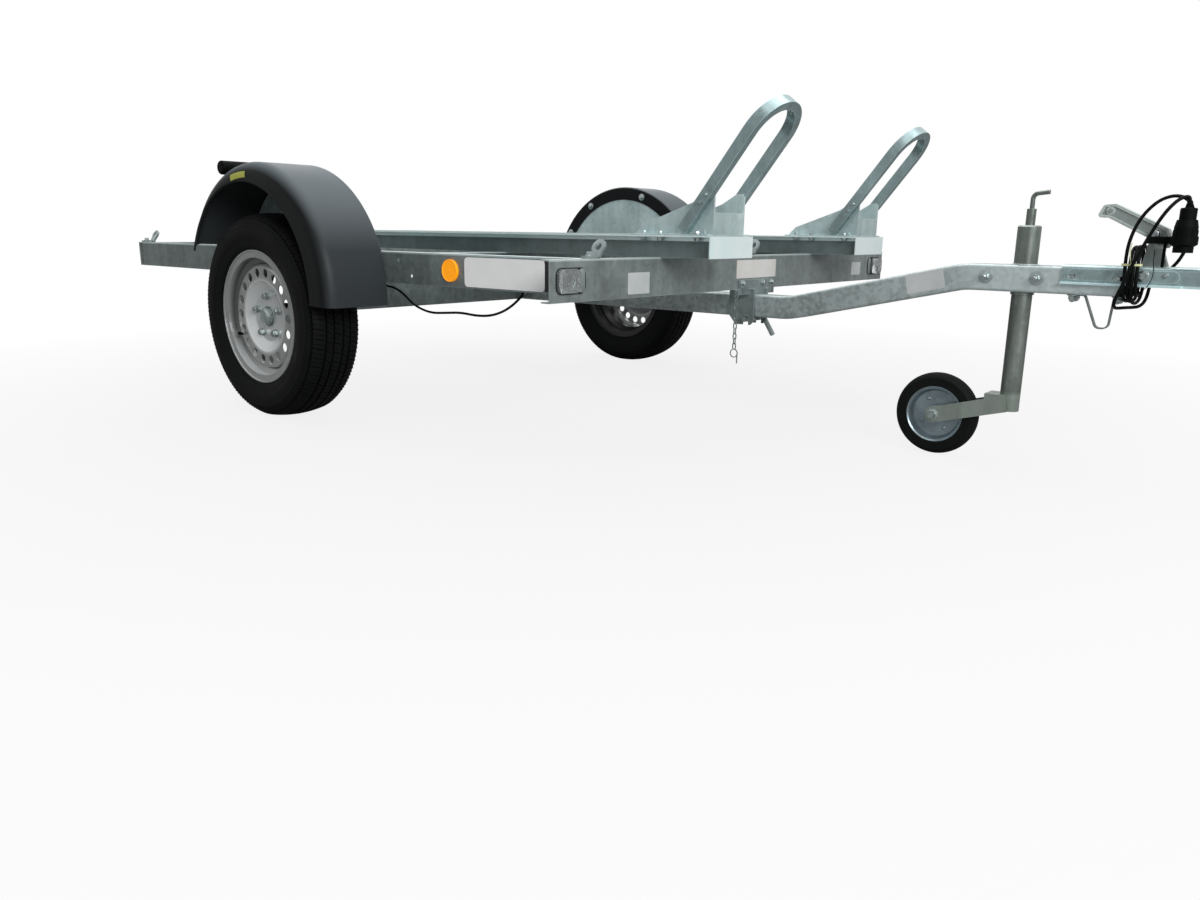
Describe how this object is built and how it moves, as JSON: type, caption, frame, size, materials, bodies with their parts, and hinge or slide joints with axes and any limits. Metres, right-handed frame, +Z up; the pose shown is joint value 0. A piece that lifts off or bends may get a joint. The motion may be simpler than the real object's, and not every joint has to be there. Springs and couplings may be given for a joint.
{
  "type": "motorcycle trailer",
  "caption": "Galvanised trailer for motorcycles: tilting bed with wheel rails and front wheel hoops, torsion axle, plastic fenders, cranked drawbar, ball coupling and jockey wheel.",
  "frame": {"origin": "on the floor, midway along the overall length and width", "axes": "+X forward to the coupling, +Y to the left, +Z up"},
  "size_m": [3.239, 1.8, 0.8134],
  "materials": {
    "galvanised": "hot-dip galvanised, dull",
    "galvanised_sheet": "galvanised sheet, satin",
    "zinc_plated": "zinc plated, bright",
    "cast_lever": "zinc plated casting",
    "wheel_silver": "silver paint",
    "tyre": "moulded",
    "fender_plastic": "moulded, satin",
    "black_plastic": "moulded",
    "cable": "sheath",
    "clear_lens": "clear",
    "red_lens": "clear red",
    "amber_lens": "prismatic"
  },
  "bodies": {
    "drawbar": {"drawbar": "galvanised", "coupling_head": "galvanised", "coupling_lever": "cast_lever", "jockey_sleeve": "galvanised", "lock_pin": "zinc_plated", "skid_strap": "zinc_plated", "cable_fittings": "black_plastic", "plug": "black_plastic", "cable_run": "cable", "cable_coil": "cable"},
    "bed": {"axle_arms": "galvanised", "axle_beam": "galvanised", "fender_lamp": "black_plastic", "fender_left": "fender_plastic", "fender_plate_left": "galvanised_sheet", "fender_plate_right": "galvanised_sheet", "fender_right": "fender_plastic", "front_crossmember": "galvanised", "front_lamps": "clear_lens", "hoop_left": "zinc_plated", "hoop_right": "zinc_plated", "lamp_cable": "cable", "lashing_eyes": "zinc_plated", "mid_crossmembers": "galvanised", "pin_chain": "zinc_plated", "pivot_bracket": "galvanised", "rear_crossmember": "galvanised", "rear_lamps": "red_lens", "saddle": "galvanised", "side_beam_left": "galvanised", "side_beam_right": "galvanised", "side_reflectors": "amber_lens", "wheel_holder_left": "zinc_plated", "wheel_holder_right": "zinc_plated", "wheel_rail_left": "galvanised_sheet", "wheel_rail_right": "galvanised_sheet"},
    "jockey_column": {"jockey_column": "galvanised"},
    "jockey_wheel": {"jockey_wheel": "zinc_plated", "jockey_tyre": "tyre"},
    "wheel_left": {"rim_left": "wheel_silver", "tyre_left": "tyre", "hub_left": "zinc_plated"},
    "wheel_right": {"rim_right": "wheel_silver", "tyre_right": "tyre", "hub_right": "zinc_plated"}
  },
  "joints": [
    {"name": "bed_tilt", "type": "hinge", "parent": "drawbar", "child": "bed", "pos_m": [-0.3085, 0, 0.331], "axis": [0, -1, 0], "range_deg": [0, 20]},
    {"name": "wheel_left_spin", "type": "hinge", "parent": "bed", "child": "wheel_left", "pos_m": [-0.5235, 0.81, 0.281], "axis": [0, 1, 0], "continuous": true},
    {"name": "wheel_right_spin", "type": "hinge", "parent": "bed", "child": "wheel_right", "pos_m": [-0.5235, -0.81, 0.281], "axis": [0, 1, 0], "continuous": true},
    {"name": "jockey_raise", "type": "slide", "parent": "drawbar", "child": "jockey_column", "axis": [0, 0, 1], "range_m": [0, 0.09]},
    {"name": "jockey_spin", "type": "hinge", "parent": "jockey_column", "child": "jockey_wheel", "pos_m": [1.0615, 0, 0.1], "axis": [0, 1, 0], "continuous": true}
  ]
}
